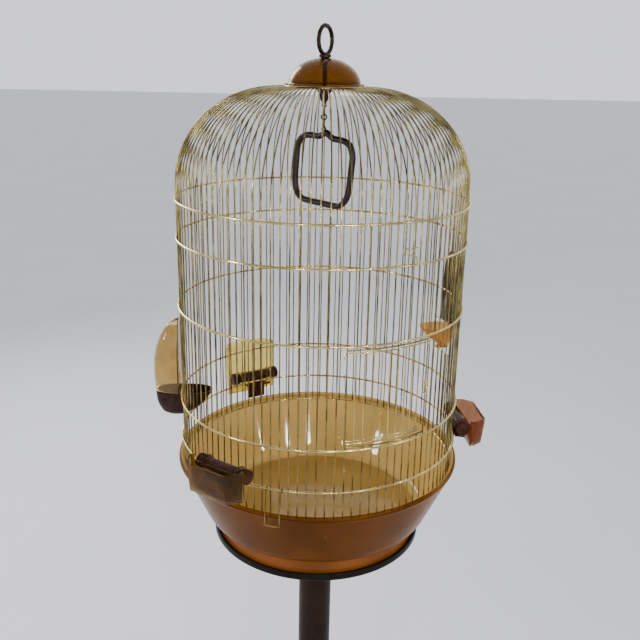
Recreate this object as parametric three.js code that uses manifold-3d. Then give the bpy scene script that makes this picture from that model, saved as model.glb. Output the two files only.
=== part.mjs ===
// Round brass-wire bird cage in an amber bowl, on a plate, a post and a weighted foot.
// Millimetres, +Z up. The origin is on the floor, under the middle of the foot.
// Azimuths are degrees round the post: 0 is the front (-Y), 90 is the right (+X).
import * as THREE from 'three';
import { mergeVertices } from 'three/addons/utils/BufferGeometryUtils.js';
import Module from 'manifold-3d';

const wasm = await Module();
wasm.setup();

// ---------- driving dimensions ----------
const FIT = 0.3; // clearance between pieces that touch

// levels, all above the floor
const TOP_HOOP_Z = 1335;
const HOOP_DROPS = [0, 52, 147, 284, 342.5]; // hoops 1 to 5, below the top hoop
const SHOULDER_Z = TOP_HOOP_Z + 19; // the wires leave the vertical here
const CROWN_Z = TOP_HOOP_Z + 145; // and are level here
const BASE_RING_Z = TOP_HOOP_Z - 386; // ring at the wires' lower ends
const BEAD_Z = TOP_HOOP_Z - 379; // middle of the bowl's rolled rim
const FLOOR_Z = TOP_HOOP_Z - 469; // bowl floor, top side
const PLATE_Z = TOP_HOOP_Z - 503.5; // channel of the stand's plate, top side

// cage
const WIRE_COUNT = 106;
const PITCH = 360 / WIRE_COUNT; // degrees from wire to wire
const FIRST_WIRE = -0.4; // azimuth of wire 0
const CAGE_R = 197.5; // to the middle of a wire
const WIRE_SECTION = 1.4; // corner radius of a wire's three-sided section
const CROWN_R = 62; // the shoulder's curve ends at this radius
const CROWN_RING = [50, 53.5]; // ring under the dome, inner and outer radius
const BASE_RING = [195.6, 198.8];
const HOOP_R = 200.2;
const HOOP_SECTION = 1.9;
const HOOP_SEGMENTS = 44;

// bowl
const BOWL_WALL = 2.4;
const BOWL_TOP_R = 205;
const BOWL_LOW_R = 168.5;
const FOOT_R = 150;

// stand
const POST_R = 25.4;
const PLATE_R = 156;
const PAD_R = 121; // raised middle of the plate
const FOOT_PLATE_R = 180;
const FELT_H = 3;

// sliding door: the nine wires between the two guide wires
const DOOR_FIRST = 4;
const DOOR_LAST = 12;
const DOOR_R = 194.4;
const DOOR_LOW_Z = TOP_HOOP_Z - 278;
const DOOR_HIGH_Z = TOP_HOOP_Z - 158;

// seed cups
const BAR_R = 8.5;
const BAR_LENGTH = 74;
const BAR_OUT = 211.5; // from the cage's axis to the bar's axis
const CUP_BACK = 222;
const CUP_FRONT = 247;
const CUP_HALF = 43;
const CUP_FRONT_HALF = 31;
const CUP_CORNER = 15; // depth of the cut-off outer corners
const CUP_WALL = 2;
const CUPS = [ // barZ is the bar's level; the cup reaches drop below it and rise above it
  { name: 'front_left', azimuth: -34.5, barZ: TOP_HOOP_Z - 324, drop: 28, rise: 14 },
  { name: 'back_left', azimuth: -148.3, barZ: TOP_HOOP_Z - 337, drop: 31, rise: 53 },
  { name: 'right', azimuth: 96, barZ: TOP_HOOP_Z - 337, drop: 27, rise: 13 },
];

// through-the-wall feeders, between wires 29 and 34 and wires 77 and 82
const RIGHT_FEEDER_GAP = { first: 30, last: 33, low: TOP_HOOP_Z - 243, high: TOP_HOOP_Z - 193 };
const LEFT_FEEDER_GAP = { first: 78, last: 81, low: TOP_HOOP_Z - 334, high: TOP_HOOP_Z - 280.5 };
const LEFT_RIM_Z = TOP_HOOP_Z - 287.8;
const RIGHT_RIM_Z = TOP_HOOP_Z - 199;

// ---------- materials ----------
function material(color, roughness, metalness, opacity = 1) {
  return new THREE.MeshStandardMaterial({ color, roughness, metalness, opacity, transparent: opacity < 1 });
}
const BRASS = () => material(0xc8ab5e, 0.25, 1);
const BRONZE_PAINT = () => material(0x2e2320, 0.4, 0.5);
const DARK_METAL = () => material(0x2a2422, 0.45, 0.8);
const STEEL = () => material(0x8d8f92, 0.35, 1);
const AMBER = () => material(0xb07a38, 0.12, 0, 0.6);
const COPPER_AMBER = () => material(0x9c5a38, 0.15, 0, 0.7);
const SMOKE_TAN = () => material(0xb39a6a, 0.15, 0, 0.6);
const BROWN_PLASTIC = () => material(0x2b1a1a, 0.3, 0);
const FELT = () => material(0x1f1d1b, 0.95, 0);

// ---------- helpers ----------
const object = new THREE.Group();

function addMesh(name, geometry, meshMaterial, parent = object) {
  const mesh = new THREE.Mesh(geometry, meshMaterial);
  mesh.name = name;
  parent.add(mesh);
  return mesh;
}

function toSolid(geometry) {
  const bare = geometry.clone();
  bare.deleteAttribute('normal');
  bare.deleteAttribute('uv');
  const merged = mergeVertices(bare, 1e-4);
  const vertProperties = Float32Array.from(merged.attributes.position.array);
  const triVerts = Uint32Array.from(merged.index.array);
  return new wasm.Manifold(new wasm.Mesh({ numProp: 3, vertProperties, triVerts }));
}

function toGeometry(solid) {
  const mesh = solid.getMesh();
  const geometry = new THREE.BufferGeometry();
  geometry.setAttribute('position', new THREE.BufferAttribute(mesh.vertProperties, mesh.numProp));
  geometry.setIndex(new THREE.BufferAttribute(mesh.triVerts, 1));
  return geometry;
}

function joinAll(geometries) {
  return toGeometry(geometries.map(toSolid).reduce((sum, solid) => sum.add(solid)));
}

function cutFrom(geometry, ...tools) {
  return toGeometry(tools.map(toSolid).reduce((rest, tool) => rest.subtract(tool), toSolid(geometry)));
}

function common(a, b) {
  return toGeometry(toSolid(a).intersect(toSolid(b)));
}

// Turned solid: outline is a list of [radius, z].
function turned(outline, segments = 32) {
  const points = outline.map(([r, z]) => new THREE.Vector2(r, z));
  return new THREE.LatheGeometry(points, segments).rotateX(Math.PI / 2);
}

// Closed turned outline: the first point is repeated at the end.
function turnedRing(outline, segments = 32) {
  return turned([...outline, outline[0]], segments);
}

function outlineShape(points) {
  return new THREE.Shape(points.map(([x, y]) => new THREE.Vector2(x, y)));
}

// Upright plate of an [x, y] outline, from z = low to z = high.
function slab(points, low, high) {
  const options = { depth: high - low, bevelEnabled: false };
  return new THREE.ExtrudeGeometry(outlineShape(points), options).translate(0, 0, low);
}

// Solid of an [x, z] outline, reaching from y = -width / 2 to y = width / 2.
function sideSlab(points, width) {
  const options = { depth: width, bevelEnabled: false };
  const solid = new THREE.ExtrudeGeometry(outlineShape(points), options);
  return solid.rotateX(Math.PI / 2).translate(0, width / 2, 0);
}

// Solid of a [y, z] outline, reaching from x = back to x = front.
function frontSlab(points, back, front) {
  const options = { depth: front - back, bevelEnabled: false };
  const solid = new THREE.ExtrudeGeometry(outlineShape(points), options);
  return solid.rotateX(Math.PI / 2).rotateZ(Math.PI / 2).translate(back, 0, 0);
}

// A geometry made with x outwards and y along the cage wall is turned to an azimuth.
function turnTo(azimuth) {
  return THREE.MathUtils.degToRad(azimuth - 90);
}

function bayAt(azimuth) {
  const bay = new THREE.Group();
  bay.rotation.z = turnTo(azimuth);
  object.add(bay);
  return bay;
}

function wireAzimuth(index) {
  return FIRST_WIRE + index * PITCH;
}

// Curved bar that follows the cage wall.
function arcBar([inner, outer], low, high, from, to) {
  const start = turnTo(from);
  const end = turnTo(to);
  const shape = new THREE.Shape();
  shape.absarc(0, 0, outer, start, end, false);
  shape.absarc(0, 0, inner, end, start, true);
  const curveSegments = Math.max(2, Math.round((to - from) / (2 * PITCH)));
  const options = { depth: high - low, bevelEnabled: false, curveSegments };
  return new THREE.ExtrudeGeometry(shape, options).translate(0, 0, low);
}

function wireSection(radius) {
  return outlineShape([90, 210, 330].map((degrees) => {
    const angle = THREE.MathUtils.degToRad(degrees);
    return [radius * Math.cos(angle), radius * Math.sin(angle)];
  }));
}

// Straight wire with one flat side outwards.
function uprightWire(index, low, high, radius = CAGE_R) {
  const wire = new THREE.CylinderGeometry(WIRE_SECTION, WIRE_SECTION, high - low, 3);
  wire.rotateX(Math.PI / 2).rotateZ(Math.PI).translate(0, -radius, (low + high) / 2);
  return wire.rotateZ(THREE.MathUtils.degToRad(wireAzimuth(index)));
}

// Round rod or wire along a list of points.
function rod(points, radius, steps, sides = 6) {
  const path = new THREE.CatmullRomCurve3(points.map(([x, y, z]) => new THREE.Vector3(x, y, z)));
  const circle = new THREE.Shape().absarc(0, 0, radius, 0, 2 * Math.PI, false);
  const section = outlineShape(circle.getPoints(sides).slice(0, sides).map((p) => [p.x, p.y]));
  return new THREE.ExtrudeGeometry(section, { steps, extrudePath: path, bevelEnabled: false });
}

// ---------- stand ----------
addMesh('base_felt', turned([[0, 0], [170, 0], [170, FELT_H], [0, FELT_H]], 32), FELT());

const baseLow = FELT_H + FIT;
addMesh('stand_base', turnedRing([
  [4.6, baseLow + 9], [12, baseLow + 9], [12, baseLow], [172, baseLow], [FOOT_PLATE_R, baseLow + 3],
  [FOOT_PLATE_R, baseLow + 7], [174, baseLow + 9.5], [60, baseLow + 15], [40, baseLow + 22], [4.6, baseLow + 22],
], 28), BRONZE_PAINT());

const postLow = baseLow + 22 + FIT;
const flangeHigh = FLOOR_Z - 3.2 - FIT - 1.8 - FIT;
const postHigh = flangeHigh - 4 - FIT;
addMesh('base_collar', turnedRing([
  [POST_R + FIT, postLow], [36, postLow], [36, postLow + 6], [31, postLow + 12],
  [29.5, postLow + 22], [POST_R + FIT, postLow + 22],
]), BRONZE_PAINT());
addMesh('stand_post', turnedRing([
  [POST_R - 1.8, postLow], [POST_R, postLow], [POST_R, postHigh], [POST_R - 1.8, postHigh],
]), BRONZE_PAINT());

const rodLow = FELT_H + 2;
addMesh('tie_rod', turned([[0, rodLow], [4, rodLow], [4, flangeHigh - 6], [0, flangeHigh - 6]], 12), STEEL());
const nutHole = new THREE.CylinderGeometry(4.3, 4.3, 12, 12).rotateX(Math.PI / 2).translate(0, 0, rodLow + 4);
const nutBody = new THREE.CylinderGeometry(7.5, 7.5, 6.5, 6).rotateX(Math.PI / 2).translate(0, 0, baseLow + 5);
addMesh('rod_nut', cutFrom(nutBody, nutHole), STEEL());

addMesh('plate_flange', turnedRing([
  [4.3, flangeHigh - 16], [9, flangeHigh - 16], [9, flangeHigh - 4], [POST_R - 1.8 - FIT, flangeHigh - 4],
  [POST_R + FIT, flangeHigh - 4], [POST_R + FIT, flangeHigh - 46], [30, flangeHigh - 46],
  [30, flangeHigh - 4], [62, flangeHigh - 4], [62, flangeHigh], [4.3, flangeHigh],
], 24), BRONZE_PAINT());

const padTop = FLOOR_Z - 3.2 - FIT;
addMesh('stand_plate', turned([
  [0, padTop - 1.8], [PAD_R - 3, padTop - 1.8], [PAD_R - 2, padTop - 4], [PAD_R - 1.6, PLATE_Z - 2.2],
  [PLATE_R - 2, PLATE_Z - 2.2], [PLATE_R, PLATE_Z], [PLATE_R, PLATE_Z + 8], [PLATE_R - 1.6, PLATE_Z + 9.5],
  [PLATE_R - 3.2, PLATE_Z + 8], [PLATE_R - 3.8, PLATE_Z], [PAD_R + 1, PLATE_Z], [PAD_R, padTop - 2],
  [PAD_R - 2, padTop], [0, padTop],
], 36), BRONZE_PAINT());

// ---------- bowl ----------
const beadTop = BEAD_Z + 4.4;
const footLow = PLATE_Z + FIT;
addMesh('bowl', turned([
  [0, FLOOR_Z - 3.2], [FOOT_R - 3, FLOOR_Z - 3.2], [FOOT_R - 3, footLow], [FOOT_R, footLow],
  [FOOT_R + 0.6, FLOOR_Z - 3.2], [BOWL_LOW_R - 6, FLOOR_Z - 1.6],
  [BOWL_LOW_R, FLOOR_Z + 6.5], [BOWL_TOP_R - 0.6, BEAD_Z - 4.6], [BOWL_TOP_R + 1.8, BEAD_Z - 1.6],
  [BOWL_TOP_R + 0.8, BEAD_Z + 3.2], [BOWL_TOP_R - 1.6, beadTop], [BOWL_TOP_R - 4.2, BEAD_Z + 2.4],
  [BOWL_TOP_R - 4.2, BEAD_Z - 4.6], [BOWL_LOW_R - BOWL_WALL, FLOOR_Z + 7], [BOWL_LOW_R - 7.5, FLOOR_Z],
  [0, FLOOR_Z],
], 40), AMBER());

// ---------- cage wires, in groups between neighbouring wires ----------
function ringSpan(first, last) {
  const spare = 0.12; // degrees left free at each end
  return [wireAzimuth(first - 0.5) + spare, wireAzimuth(last + 0.5) - spare];
}

function uprights(first, last, low, high, gap) {
  const wires = [];
  for (let index = first; index <= last; index += 1) {
    const cut = gap && index >= gap.first && index <= gap.last;
    if (cut) {
      wires.push(uprightWire(index, low, gap.low + 1));
      wires.push(uprightWire(index, gap.high - 1, high));
    } else {
      wires.push(uprightWire(index, low, high));
    }
  }
  return wires;
}

// Two short bars frame the gap that a feeder passes through.
function gapBars(gap) {
  const section = [BASE_RING[0], CAGE_R + 0.8];
  const from = wireAzimuth(gap.first - 1);
  const to = wireAzimuth(gap.last + 1);
  return [
    arcBar(section, gap.low, gap.low + 2, from, to),
    arcBar(section, gap.high - 2, gap.high, from, to),
  ];
}

function wallGroup(name, first, last, gap) {
  const [from, to] = ringSpan(first, last);
  const pieces = uprights(first, last, BASE_RING_Z + 1.5, SHOULDER_Z - FIT / 2, gap);
  pieces.push(arcBar(BASE_RING, BASE_RING_Z, BASE_RING_Z + 3, from, to));
  if (gap) pieces.push(...gapBars(gap));
  addMesh(name, joinAll(pieces), BRASS());
}

class ShoulderCurve extends THREE.Curve {
  // A quarter ellipse from the vertical wire to the crown, then level to the crown ring.
  getPoint(t, target = new THREE.Vector3()) {
    const bend = Math.min(1, t / 0.88) * Math.PI / 2;
    const level = Math.max(0, (t - 0.88) / 0.12);
    const end = (CROWN_RING[0] + CROWN_RING[1]) / 2;
    const radius = CROWN_R + (CAGE_R - CROWN_R) * Math.cos(bend) - level * (CROWN_R - end);
    const z = SHOULDER_Z + (CROWN_Z - SHOULDER_Z) * Math.sin(bend);
    return target.set(0, -radius, z + FIT / 2);
  }
}

function domeWire(index) {
  const options = { steps: 4, extrudePath: new ShoulderCurve(), bevelEnabled: false };
  const wire = new THREE.ExtrudeGeometry(wireSection(WIRE_SECTION), options);
  return wire.rotateZ(THREE.MathUtils.degToRad(wireAzimuth(index)));
}

function domeGroup(name, first, last) {
  const [from, to] = ringSpan(first, last);
  const pieces = [];
  for (let index = first; index <= last; index += 1) pieces.push(domeWire(index));
  pieces.push(arcBar(CROWN_RING, CROWN_Z - 1.8, CROWN_Z + 1.8, from + 0.1, to - 0.1));
  addMesh(name, joinAll(pieces), BRASS());
}

const GROUPS = [
  { name: 'front', first: -9, last: 3 },
  { name: 'front_right', first: 13, last: 26 },
  { name: 'right', first: 27, last: 40, gap: RIGHT_FEEDER_GAP },
  { name: 'back_right', first: 41, last: 54 },
  { name: 'back_left', first: 55, last: 68 },
  { name: 'left', first: 69, last: 82, gap: LEFT_FEEDER_GAP },
  { name: 'front_left', first: 83, last: 96 },
];
for (const { name, first, last, gap } of GROUPS) {
  wallGroup(`wall_wires_${name}`, first, last, gap);
  domeGroup(`dome_wires_${name}`, first, last);
}
domeGroup('dome_wires_over_door', DOOR_FIRST, DOOR_LAST);

const doorSpan = ringSpan(DOOR_FIRST, DOOR_LAST);
const headerZ = TOP_HOOP_Z - 154;
addMesh('wall_wires_above_door', joinAll([
  ...uprights(DOOR_FIRST, DOOR_LAST, headerZ + 1.5, SHOULDER_Z - FIT / 2),
  arcBar([BASE_RING[0], CAGE_R + 0.8], headerZ, headerZ + 3, ...doorSpan),
]), BRASS());
const sillZ = DOOR_LOW_Z - 1.4 - FIT - 2;
addMesh('wall_wires_below_door', joinAll([
  ...uprights(DOOR_FIRST, DOOR_LAST, BASE_RING_Z + 1.5, sillZ + 1),
  arcBar(BASE_RING, BASE_RING_Z, BASE_RING_Z + 3, ...doorSpan),
  arcBar([DOOR_R - 1.4, CAGE_R + 0.8], sillZ, sillZ + 2, ...doorSpan),
]), BRASS());

HOOP_DROPS.forEach((drop, index) => {
  const hoop = new THREE.TorusGeometry(HOOP_R, HOOP_SECTION, 3, HOOP_SEGMENTS);
  addMesh(`hoop_${index + 1}`, hoop.translate(0, 0, TOP_HOOP_Z - drop), BRASS());
});

// ---------- crown: plate, dome, stem, ring nut and swing nut ----------
const STEM_R = 3.1;
addMesh('crown_plate', turnedRing([
  [STEM_R + FIT, CROWN_Z - 1], [CROWN_RING[0] - FIT, CROWN_Z - 1],
  [CROWN_RING[0] - FIT, CROWN_Z + 0.8], [STEM_R + FIT, CROWN_Z + 0.8],
]), DARK_METAL());

const domeLow = CROWN_Z + 1.8 + FIT;
const domeRise = 34.2;
function domeArc(radius, rise, from, to, count) {
  return Array.from({ length: count + 1 }, (_, i) => {
    const angle = THREE.MathUtils.degToRad(from + (to - from) * i / count);
    return [radius * Math.cos(angle), domeLow + rise * Math.sin(angle)];
  });
}
addMesh('dome_cap', turnedRing([
  [45.4, domeLow], [53.2, domeLow], [53.2, domeLow + 1.8],
  ...domeArc(47.6, domeRise, 4, 82.4, 6),
  ...domeArc(45.4, domeRise - 2.2, 81.9, 4, 6),
], 24), AMBER());

const stemLow = CROWN_Z - 15;
const stemHigh = domeLow + domeRise - 0.6;
addMesh('stem', turned([[0, stemLow], [STEM_R, stemLow], [STEM_R, stemHigh], [0, stemHigh]], 12), DARK_METAL());

const nutLow = domeLow + domeRise - 3;
const ringZ = domeLow + domeRise + 21.8;
const ringNut = turned([
  [0, stemHigh + FIT], [STEM_R + FIT, stemHigh + FIT], [STEM_R + FIT, nutLow], [5.9, nutLow],
  [5.9, nutLow + 3.6], [8, nutLow + 3.6], [8, nutLow + 6.6], [4.5, nutLow + 9], [0, nutLow + 9],
], 12);
const ringLoop = new THREE.TorusGeometry(17.8, 2.8, 6, 20).rotateX(Math.PI / 2).translate(0, 0, ringZ);
const RING_TURN = 61;
addMesh('ring_nut', joinAll([ringNut, ringLoop.rotateZ(THREE.MathUtils.degToRad(RING_TURN))]), DARK_METAL());

const swingNutHigh = CROWN_Z - 1 - FIT;
const EYE_Z = TOP_HOOP_Z + 122;
const swingNut = turned([
  [0, EYE_Z + 2.6], [2.6, EYE_Z + 2.6], [5.6, EYE_Z + 7], [9.6, swingNutHigh - 3], [9.6, swingNutHigh],
  [STEM_R + FIT, swingNutHigh], [STEM_R + FIT, stemLow - FIT], [0, stemLow - FIT],
], 12);
const eye = new THREE.TorusGeometry(2.7, 0.8, 6, 12).rotateX(Math.PI / 2).translate(0, 0, EYE_Z);
addMesh('swing_nut', joinAll([swingNut, eye]), DARK_METAL());

// ---------- swing ----------
// Flat loop: a rounded outline with a rounded hole, across the given half thickness.
function loopPlate(halfWidth, low, high, bar, thickness, corner) {
  const round = (shape, w, z0, z1, r) => {
    shape.moveTo(-w + r, z0);
    shape.lineTo(w - r, z0);
    shape.absarc(w - r, z0 + r, r, -Math.PI / 2, 0, false);
    shape.lineTo(w, z1 - r);
    shape.absarc(w - r, z1 - r, r, 0, Math.PI / 2, false);
    shape.lineTo(-w + r, z1);
    shape.absarc(-w + r, z1 - r, r, Math.PI / 2, Math.PI, false);
    shape.lineTo(-w, z0 + r);
    shape.absarc(-w + r, z0 + r, r, Math.PI, 1.5 * Math.PI, false);
    return shape;
  };
  const shape = round(new THREE.Shape(), halfWidth, low, high, corner);
  shape.holes.push(round(new THREE.Path(), halfWidth - bar, low + bar, high - bar, corner - bar));
  const options = { depth: thickness, bevelEnabled: false, curveSegments: 4 };
  return new THREE.ExtrudeGeometry(shape, options).translate(0, 0, -thickness / 2).rotateX(Math.PI / 2);
}

// Chain link in the y-z plane: a flat loop with a round top and bottom.
function link(low, high) {
  return loopPlate(3.2, low, high, 1.4, 1.4, 3.19).rotateZ(Math.PI / 2);
}
const RING_LINK_Z = TOP_HOOP_Z + 106.4;
const ringLink = new THREE.TorusGeometry(3.5, 0.7, 6, 12).rotateX(Math.PI / 2).translate(0, 0, RING_LINK_Z);
addMesh('swing_ring', ringLink, BRASS());
addMesh('swing_upper_link', link(RING_LINK_Z + 0.8, EYE_Z - 0.1), DARK_METAL());
const LUG_Z = TOP_HOOP_Z + 91.2;
addMesh('swing_lower_link', link(LUG_Z + 0.1, RING_LINK_Z - 0.8), DARK_METAL());

const SWING_TURN = -32; // the loop's right side is nearer the front
const SWING_TILT = 5;
const SWING_HALF = 48.5;
const SWING_BAR = 9.2;
const SWING_TOP = TOP_HOOP_Z + 88.4;
const SWING_LOW = TOP_HOOP_Z - 12;
const swingMiddle = (SWING_TOP + SWING_LOW) / 2;
const swingLoop = loopPlate(SWING_HALF, SWING_LOW, SWING_TOP, SWING_BAR, 8.4, 23);
swingLoop.translate(0, 0, -swingMiddle).rotateY(THREE.MathUtils.degToRad(SWING_TILT)).translate(0, 0, swingMiddle);
const lug = new THREE.TorusGeometry(3, 0.9, 6, 12).rotateX(Math.PI / 2).translate(0, 0, LUG_Z);
const lugFoot = new THREE.CylinderGeometry(1.6, 4, 6, 8).rotateX(Math.PI / 2).translate(0, 0, LUG_Z - 5.4);
const swingSolid = joinAll([swingLoop, lug, lugFoot]).rotateZ(THREE.MathUtils.degToRad(SWING_TURN));
addMesh('swing_frame', swingSolid, BROWN_PLASTIC());

// ---------- sliding door ----------
const doorEdge = 1.2; // degrees that the cross-bars reach past the guide wires
const doorFrom = wireAzimuth(DOOR_FIRST - 1) - doorEdge;
const doorTo = wireAzimuth(DOOR_LAST + 1) + doorEdge;
const doorPieces = [];
for (let index = DOOR_FIRST; index <= DOOR_LAST; index += 1) {
  doorPieces.push(uprightWire(index, DOOR_LOW_Z, DOOR_HIGH_Z, DOOR_R));
}
function doorBar(z, from, to) {
  return arcBar([DOOR_R - 1.6, DOOR_R + 0.9], z - 1.4, z + 1.4, from, to);
}
function doorEar(z, from) {
  return arcBar([DOOR_R, CAGE_R + 0.7], z - 1.1, z + 1.1, from, from + 0.5);
}
// The lower bar stops short of the spring coil on the right guide wire.
doorPieces.push(
  doorBar(DOOR_LOW_Z, doorFrom, doorTo - 2.2), doorEar(DOOR_LOW_Z, doorFrom),
  doorBar(DOOR_HIGH_Z, doorFrom, doorTo), doorEar(DOOR_HIGH_Z, doorFrom), doorEar(DOOR_HIGH_Z, doorTo - 0.5),
);
addMesh('door_panel', joinAll(doorPieces), BRASS());

function onWall(radius, azimuth, z) {
  const angle = turnTo(azimuth);
  return [radius * Math.cos(angle), radius * Math.sin(angle), z];
}
const hookZ = TOP_HOOP_Z - HOOP_DROPS[1];
addMesh('door_hook', rod([
  onWall(203.4, 34.1, hookZ + 3), onWall(203.4, 33.9, hookZ + 9), onWall(203.4, 32.4, hookZ + 12.6),
  onWall(203.4, 30.4, hookZ + 13), onWall(203.4, 28.6, hookZ + 14), onWall(203.4, 28.2, hookZ + 17.4),
  onWall(203.4, 28.8, hookZ + 20.8), onWall(203.4, 31.2, hookZ + 21.6), onWall(203.4, 34.2, hookZ + 21.6),
], 0.9, 12, 4), BRASS());

const coil = turnedRing([[1.8, -10], [2.7, -10], [2.7, 10], [1.8, 10]], 8);
const coilPlace = onWall(CAGE_R, wireAzimuth(DOOR_LAST + 1), TOP_HOOP_Z - 218);
addMesh('door_guide_coil', coil, BRASS()).position.set(...coilPlace);

// ---------- clips that hold the cage in the bowl ----------
const CLIP_WIRE = 0.8;
const CLIP_HALF = 9.8; // half the distance between the legs
function baseClip(name, azimuth) {
  const clip = bayAt(azimuth);
  const hoopZ = TOP_HOOP_Z - HOOP_DROPS[4];
  const loops = [-1, 1].map((side) => {
    const loop = new THREE.TorusGeometry(3.2, CLIP_WIRE, 4, 8).rotateX(Math.PI / 2);
    return loop.translate(HOOP_R - 0.25, side * CLIP_HALF, hoopZ);
  });
  const leg = (side) => [
    [HOOP_R + 3, side * CLIP_HALF, hoopZ], [HOOP_R + 5.4, side * CLIP_HALF, hoopZ - 18],
    [BOWL_TOP_R + 3.4, side * CLIP_HALF, BEAD_Z + 3], [BOWL_TOP_R + 3.4, side * CLIP_HALF, BEAD_Z - 6],
    [BOWL_TOP_R + 5, side * (CLIP_HALF - 1), BEAD_Z - 10.4],
  ];
  const wire = rod([...leg(-1), ...leg(1).reverse()], CLIP_WIRE, 18, 4);
  addMesh(name, joinAll([...loops, wire]), BRASS(), clip);
}
const CLIP_AZIMUTH = wireAzimuth(-4.5);
baseClip('base_clip_front', CLIP_AZIMUTH);
baseClip('base_clip_back', CLIP_AZIMUTH + 180);

// ---------- seed cups on their bars ----------
function cupBar(name, azimuth, barZ) {
  const along = (geometry) => geometry.translate(BAR_OUT, 0, barZ);
  const bar = along(new THREE.CylinderGeometry(BAR_R, BAR_R, BAR_LENGTH, 12));
  const knobs = [-1, 1].map((side) => {
    const knob = new THREE.CylinderGeometry(10, 10, 5, 12);
    return along(knob.translate(0, side * (BAR_LENGTH / 2 + 2), 0));
  });
  const tongue = sideSlab([
    [202.4, barZ - 36], [205.8, barZ - 36], [205.8, barZ - 4], [210, barZ], [204, barZ + 4],
  ], 30);
  addMesh(name, joinAll([bar, ...knobs, tongue]), BROWN_PLASTIC(), bayAt(azimuth));
}

// Plan of a cup: straight against its bar, with the outer corners cut off.
function cupPlan(back, front, halfBack, halfFront, corner) {
  return [
    [back, -halfBack], [front - corner, -halfBack], [front, -halfFront],
    [front, halfFront], [front - corner, halfBack], [back, halfBack],
  ];
}

function cupBody(low, high, inset) {
  const back = CUP_BACK + inset;
  const front = CUP_FRONT - inset;
  const rim = slab(cupPlan(back, front, CUP_HALF - inset, CUP_FRONT_HALF - inset, CUP_CORNER), low, high);
  const taper = sideSlab([[back, high], [back, low], [front - 4, low], [front, high - 8], [front, high]], 100);
  return common(rim, taper);
}

// A cup whose back wall stops just above the bar, so that a bird reaches in over it.
function seedCup(name, azimuth, barZ, drop, rise) {
  const low = barZ - drop;
  const high = barZ + rise;
  const reach = new THREE.BoxGeometry(6, 2 * CUP_HALF - 8, rise).translate(CUP_BACK, 0, barZ + 5 + rise / 2);
  const shell = cutFrom(cupBody(low, high, 0), cupBody(low + CUP_WALL, high + 5, CUP_WALL), reach);
  const hooks = [-1, 1].map((side) => {
    const outer = new THREE.CylinderGeometry(BAR_R + 2.8, BAR_R + 2.8, 5, 16, 1);
    const inner = new THREE.CylinderGeometry(BAR_R + 0.5, BAR_R + 0.5, 6, 16, 1);
    const under = new THREE.BoxGeometry(30, 10, 20).translate(0, 0, -10.5);
    const hook = toSolid(outer).subtract(toSolid(inner)).subtract(toSolid(under));
    const arm = new THREE.BoxGeometry(4, 5, 5).translate(CUP_BACK - BAR_OUT - 1, 0, 2.2);
    const armSolid = toSolid(arm).subtract(toSolid(inner));
    return toGeometry(hook.add(armSolid)).translate(BAR_OUT, side * 27, barZ);
  });
  addMesh(name, joinAll([shell, ...hooks]), COPPER_AMBER(), bayAt(azimuth));
}

for (const { name, azimuth, barZ, drop, rise } of CUPS) {
  cupBar(`cup_bar_${name}`, azimuth, barZ);
  seedCup(`seed_cup_${name}`, azimuth, barZ, drop, rise);
}

// ---------- feeders that pass through the wall ----------
// Half of the boat-shaped plan of a feeder cup, from the outer end to the inner tip.
function boatPlan(outer, inner, half) {
  const middle = (outer + inner) / 2;
  const reach = (outer - inner) / 2;
  return Array.from({ length: 20 }, (_, i) => {
    const angle = 2 * Math.PI * (i + 0.5) / 20;
    const c = Math.cos(angle);
    const s = Math.sin(angle);
    const x = middle + reach * Math.sign(c) * Math.abs(c) ** 0.8;
    return [x, half * Math.sign(s) * Math.abs(s) ** 0.75];
  });
}

function boat(rimZ, outer, inner, depth, inset) {
  const o = outer - inset;
  const i = inner + inset;
  const low = rimZ - depth + inset;
  const top = rimZ + (inset > 0 ? 4 : 0);
  const side = sideSlab([
    [o, top], [o - 2, rimZ - depth * 0.5], [o - 10, low + 4], [o - 24, low], [o - 42, low + 3.5],
    [i + 10, rimZ - depth * 0.42], [i, rimZ - 1], [i, top],
  ], 60);
  return common(side, slab(boatPlan(o, i, 20 - inset), low, top));
}

const leftBay = bayAt(wireAzimuth((LEFT_FEEDER_GAP.first + LEFT_FEEDER_GAP.last) / 2));
const rightBay = bayAt(wireAzimuth((RIGHT_FEEDER_GAP.first + RIGHT_FEEDER_GAP.last) / 2));
const leftCup = cutFrom(boat(LEFT_RIM_Z, 240.5, 157, 38, 0), boat(LEFT_RIM_Z, 240.5, 157, 38, 1.8));
addMesh('left_feeder_cup', leftCup, BROWN_PLASTIC(), leftBay);

// Teardrop hood: the side view, the front view and the plan cut one another.
function hoodBody(inset, low) {
  const z = LEFT_RIM_Z + FIT;
  const side = sideSlab([
    [203.6 + inset, low], [241 - inset, low], [242.8 - inset, z + 34], [239.6 - inset, z + 60],
    [230 - inset, z + 88 - inset], [213 - inset, z + 109 - 2 * inset], [206.5 + inset, z + 108 - 2 * inset],
    [204.4 + inset, z + 80],
  ], 60);
  const front = frontSlab([
    [-20 + inset, low], [20 - inset, low], [20.5 - inset, z + 34], [17.5 - inset, z + 66],
    [10.5 - inset, z + 94 - inset], [3, z + 110 - 2 * inset], [-3, z + 110 - 2 * inset],
    [-10.5 + inset, z + 94 - inset], [-17.5 + inset, z + 66], [-20.5 + inset, z + 34],
  ], 190, 260);
  const half = 20.5 - inset;
  const plan = slab([
    [203 + inset, -half], [226 - inset, -half], [236 - inset, -half * 0.7], [242.8 - inset, -half * 0.2],
    [242.8 - inset, half * 0.2], [236 - inset, half * 0.7], [226 - inset, half], [203 + inset, half],
  ], low, z + 120);
  return common(toGeometry(toSolid(side).intersect(toSolid(front))), plan);
}
const hoodLow = LEFT_RIM_Z + FIT;
addMesh('left_feeder_hood', cutFrom(hoodBody(0, hoodLow), hoodBody(1.8, hoodLow - 5)), SMOKE_TAN(), leftBay);

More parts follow.
